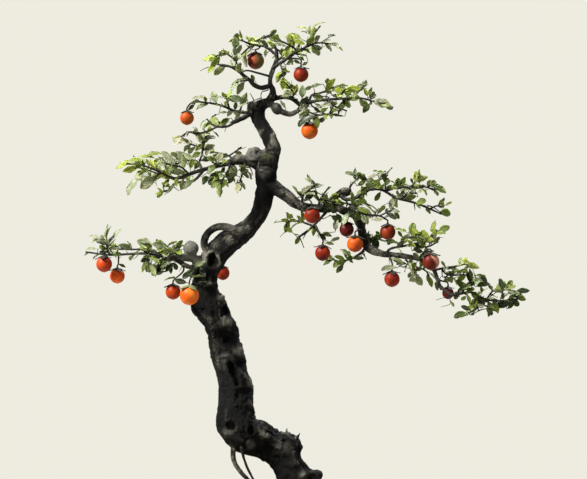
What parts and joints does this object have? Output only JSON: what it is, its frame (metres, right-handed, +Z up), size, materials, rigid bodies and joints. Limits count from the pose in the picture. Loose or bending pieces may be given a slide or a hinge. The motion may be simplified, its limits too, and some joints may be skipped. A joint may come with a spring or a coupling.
{
  "type": "diospyros armata bonsai in a pot",
  "caption": "Slender persimmon bonsai with a leaning, gnarled trunk, leafy branches and small ripe fruit, growing in a plain oval clay pot.",
  "frame": {"origin": "middle of the bottom of the whole part's box, on the surface that the pot's feet stand on", "axes": "+Z up, +X to the right as seen from the front, and the front of the tree faces -Y"},
  "size_m": [0.542, 0.216, 0.6519],
  "materials": {
    "bark": "matte",
    "leaf": "satin",
    "fruit_orange": "gloss",
    "fruit_red": "gloss",
    "fruit_dark": "gloss",
    "clay": "matte",
    "soil": "matte",
    "screen": "matte"
  },
  "bodies": {
    "root": {"drain_screen_left": "screen", "drain_screen_right": "screen", "fruit_behind_trunk": "fruit_red", "fruit_crown_hidden": "fruit_dark", "fruit_crown_right": "fruit_red", "fruit_dark_middle": "fruit_dark", "fruit_far_left": "fruit_orange", "fruit_far_left_low": "fruit_orange", "fruit_far_right": "fruit_dark", "fruit_fork": "fruit_red", "fruit_front_middle": "fruit_orange", "fruit_hanging": "fruit_orange", "fruit_low_front": "fruit_orange", "fruit_low_left": "fruit_orange", "fruit_low_right": "fruit_orange", "fruit_middle_right": "fruit_red", "fruit_right_front": "fruit_red", "fruit_shelf_left": "fruit_orange", "fruit_shelf_right": "fruit_orange", "pot": "clay", "soil": "soil", "spray_behind_trunk": "leaf", "spray_crown_back": "leaf", "spray_crown_left": "leaf", "spray_crown_right": "leaf", "spray_crown_top": "leaf", "spray_fork_left": "leaf", "spray_fork_right": "leaf", "spray_low_back": "leaf", "spray_low_front": "leaf", "spray_low_left": "leaf", "spray_low_stalk": "leaf", "spray_low_top": "leaf", "spray_pad_front": "leaf", "spray_pad_left": "leaf", "spray_pad_top": "leaf", "spray_pad_under_left": "leaf", "spray_pad_under_right": "leaf", "spray_right_core": "leaf", "spray_right_dark_fruit": "leaf", "spray_right_down": "leaf", "spray_right_end": "leaf", "spray_right_end_fruit": "leaf", "spray_right_end_top": "leaf", "spray_right_front_fruit": "leaf", "spray_right_front_stalk": "leaf", "spray_right_inner": "leaf", "spray_right_knob_tip": "leaf", "spray_right_low_fruit": "leaf", "spray_right_low_top": "leaf", "spray_right_low_under": "leaf", "spray_right_middle": "leaf", "spray_right_top": "leaf", "spray_right_under": "leaf", "spray_shelf_left_low": "leaf", "spray_shelf_left_top": "leaf", "spray_shelf_right": "leaf", "spray_shelf_tuft": "leaf", "trunk": "bark"}
  },
  "joints": []
}
